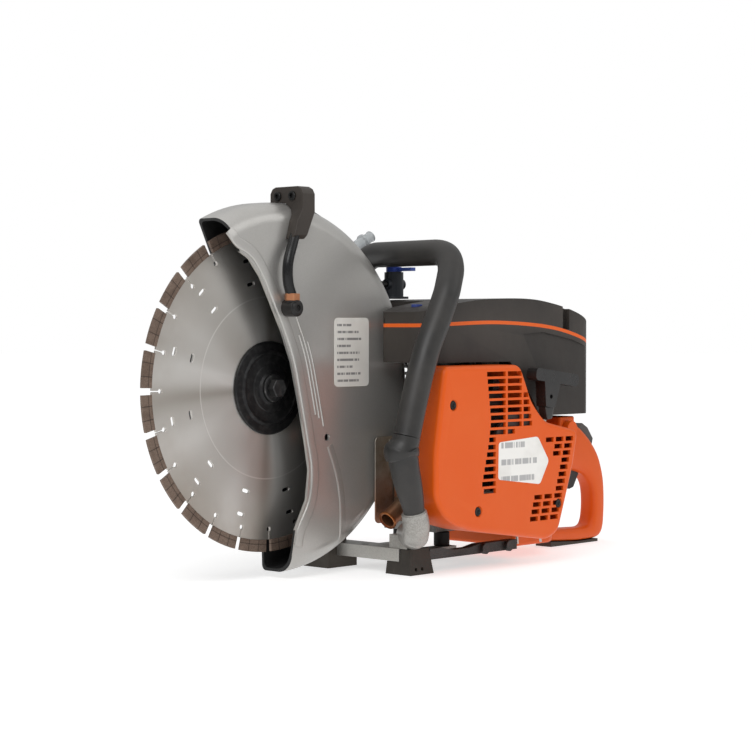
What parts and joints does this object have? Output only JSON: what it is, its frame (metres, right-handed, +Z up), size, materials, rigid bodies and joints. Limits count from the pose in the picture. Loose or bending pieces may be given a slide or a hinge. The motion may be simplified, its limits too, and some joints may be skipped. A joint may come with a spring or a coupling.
{
  "type": "cut-off saw",
  "caption": "Hand-held petrol concrete cut-off saw with a 350 mm segmented diamond blade, tilting guard with water spray, belt arm, pull starter, tubular front handle and rear loop handle.",
  "frame": {"origin": "on the floor under the centre of the whole saw's box", "axes": "+X towards the rear handle, +Y towards the user's right, +Z up; the blade is at -X"},
  "size_m": [0.732, 0.237, 0.418],
  "materials": {
    "core_steel": "radially brushed, semi-bright",
    "segment_metal": "sintered, matt",
    "black_steel": "black oxide",
    "machined_steel": "turned",
    "cast_aluminium": "sand-blasted casting",
    "arm_paint": "dark powder coat",
    "guard_paint": "silver-grey paint on magnesium",
    "rubber_black": "moulded rubber",
    "foot_rubber": "dense moulded rubber",
    "grip_rubber": "soft grip over steel tube",
    "dark_plastic": "fine moulded grain",
    "orange_plastic": "semi-gloss moulded",
    "blue_plastic": "moulded",
    "red_plastic": "moulded",
    "clear_plastic": "cloudy clear",
    "brass": "machined",
    "porcelain": "glazed",
    "hot_steel": "heat tinted",
    "filter_foam": "pleated paper"
  },
  "bodies": {
    "root": {"spindle_bearings": "machined_steel", "drive_belt": "rubber_black", "cutting_arm": "arm_paint", "belt_cover": "arm_paint", "cover_screws": "machined_steel", "belt_tensioner": "machined_steel", "tap_hose": "rubber_black", "water_tap": "dark_plastic", "water_connector": "clear_plastic", "crankcase": "cast_aluminium", "crank_bearings": "machined_steel", "connecting_rod": "machined_steel", "piston": "cast_aluminium", "engine_cylinder": "cast_aluminium", "spark_plug": "porcelain", "ignition_module": "dark_plastic", "muffler": "hot_steel", "exhaust_pipe": "hot_steel", "heat_shield": "hot_steel", "carburettor": "cast_aluminium", "intake_boot": "rubber_black", "air_filter": "filter_foam", "filter_cover": "dark_plastic", "trim_stripe": "orange_plastic", "cylinder_cover": "dark_plastic", "rear_handle_tank": "orange_plastic", "starter_housing": "orange_plastic", "starter_spring": "machined_steel", "front_handle": "grip_rubber", "front_support": "cast_aluminium", "side_bracket": "black_steel", "vibration_mounts": "rubber_black", "rubber_feet": "foot_rubber"},
    "blade": {"blade_core": "core_steel", "blade_segments": "segment_metal", "outer_flange": "black_steel", "inner_flange": "black_steel", "blade_bolt": "black_steel", "spindle_shaft": "machined_steel", "blade_pulley": "machined_steel"},
    "guard": {"blade_guard": "guard_paint", "water_block": "dark_plastic", "block_screws": "black_steel", "spray_hose": "rubber_black", "spray_nozzle": "brass", "guard_line": "rubber_black"},
    "crank": {"crankshaft": "machined_steel", "rod_big_end": "machined_steel", "flywheel": "cast_aluminium", "clutch_hub": "machined_steel"},
    "drum": {"clutch_drum": "machined_steel"},
    "tap": {"tap_lever": "blue_plastic"},
    "decompression": {"decompression_button": "dark_plastic"},
    "cap": {"fuel_cap": "dark_plastic"},
    "trigger": {"throttle_trigger": "dark_plastic"},
    "lockout": {"throttle_lockout": "dark_plastic"},
    "switch": {"stop_switch": "red_plastic"},
    "choke": {"choke_knob": "orange_plastic"},
    "rope_wheel": {"rope_pulley": "dark_plastic"},
    "pull_grip": {"starter_handle": "dark_plastic"}
  },
  "joints": [
    {"name": "blade_spin", "type": "hinge", "parent": "root", "child": "blade", "pos_m": [-0.191, 0.0265, 0.204], "axis": [0, 1, 0], "continuous": true},
    {"name": "drum_spin", "type": "hinge", "parent": "root", "child": "drum", "pos_m": [0.067, 0.1045, 0.129], "axis": [0, 1, 0], "continuous": true},
    {"name": "crank_spin", "type": "hinge", "parent": "root", "child": "crank", "pos_m": [0.067, 0.0185, 0.129], "axis": [0, 1, 0], "continuous": true},
    {"name": "guard_tilt", "type": "hinge", "parent": "root", "child": "guard", "pos_m": [-0.191, 0.0565, 0.204], "axis": [0, 1, 0], "range_deg": [-20, 30]},
    {"name": "tap_turn", "type": "hinge", "parent": "root", "child": "tap", "pos_m": [0.031, 0.0485, 0.335], "axis": [0, 0, 1], "range_deg": [0, 90]},
    {"name": "decompression_press", "type": "slide", "parent": "root", "child": "decompression", "axis": [0, 0, -1], "range_m": [0, 0.004], "stiffness_N_per_m": 600, "springref_m": -0.001},
    {"name": "fuel_cap_turn", "type": "hinge", "parent": "root", "child": "cap", "pos_m": [0.204, 0.0665, 0.064], "axis": [0, 1, 0], "range_deg": [0, 120]},
    {"name": "throttle_pull", "type": "hinge", "parent": "root", "child": "trigger", "pos_m": [0.289, 0.0065, 0.097], "axis": [0, -1, 0], "range_deg": [0, 15], "stiffness_Nm_per_rad": 0.8, "springref_deg": -5.73},
    {"name": "lockout_press", "type": "hinge", "parent": "root", "child": "lockout", "pos_m": [0.321, 0.0065, 0.134], "axis": [0, 1, 0], "range_deg": [0, 10], "stiffness_Nm_per_rad": 0.6, "springref_deg": -5.73},
    {"name": "stop_flip", "type": "hinge", "parent": "root", "child": "switch", "pos_m": [0.275, -0.0085, 0.138], "axis": [0, 1, 0], "range_deg": [0, 35]},
    {"name": "choke_pull", "type": "slide", "parent": "root", "child": "choke", "axis": [0, -1, 0], "range_m": [0, 0.014]},
    {"name": "rope_wind", "type": "hinge", "parent": "root", "child": "rope_wheel", "pos_m": [0.067, -0.1015, 0.129], "axis": [0, -1, 0], "range_deg": [0, 838.97], "stiffness_Nm_per_rad": 0.01, "springref_deg": -114.59},
    {"name": "rope_pull", "type": "slide", "parent": "root", "child": "pull_grip", "axis": [0.1219, 0, 0.9925], "range_m": [0, 0.62]}
  ],
  "couplings": [
    {"joint": "drum_spin", "follows": "blade_spin", "ratio": 2},
    {"joint": "rope_pull", "follows": "rope_wind", "m_per_rad": 0.041}
  ]
}
